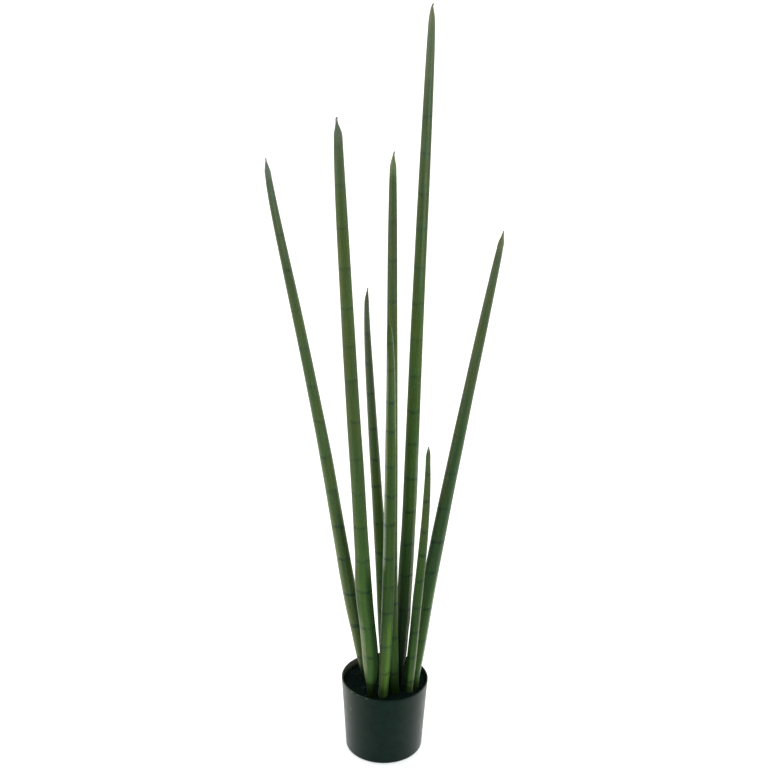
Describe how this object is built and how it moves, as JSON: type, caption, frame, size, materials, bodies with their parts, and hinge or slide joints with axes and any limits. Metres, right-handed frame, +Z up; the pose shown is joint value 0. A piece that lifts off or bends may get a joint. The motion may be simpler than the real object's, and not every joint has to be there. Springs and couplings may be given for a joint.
{
  "type": "potted cylindrical snake plant",
  "caption": "Upright succulent with long round tapering leaves fanning out of a plain tapered plastic nursery pot of soil.",
  "frame": {"origin": "centre of the pot's underside, on the surface that it stands on", "axes": "+Z up, +X to the right and -Y to the front; the far left leaf leans to -X and the far right one to +X"},
  "size_m": [0.3781, 0.2174, 1.2865],
  "materials": {
    "pot": "satin",
    "soil": "matte",
    "rhizome": "matte",
    "leaf": "satin"
  },
  "bodies": {
    "root": {"pot": "pot", "soil": "soil", "rhizome": "rhizome", "leaf_far_left": "leaf", "leaf_left_broad": "leaf", "leaf_left_thin": "leaf", "leaf_middle_back": "leaf", "leaf_middle_front": "leaf", "leaf_tallest": "leaf", "leaf_short_right": "leaf", "leaf_far_right": "leaf"}
  },
  "joints": []
}
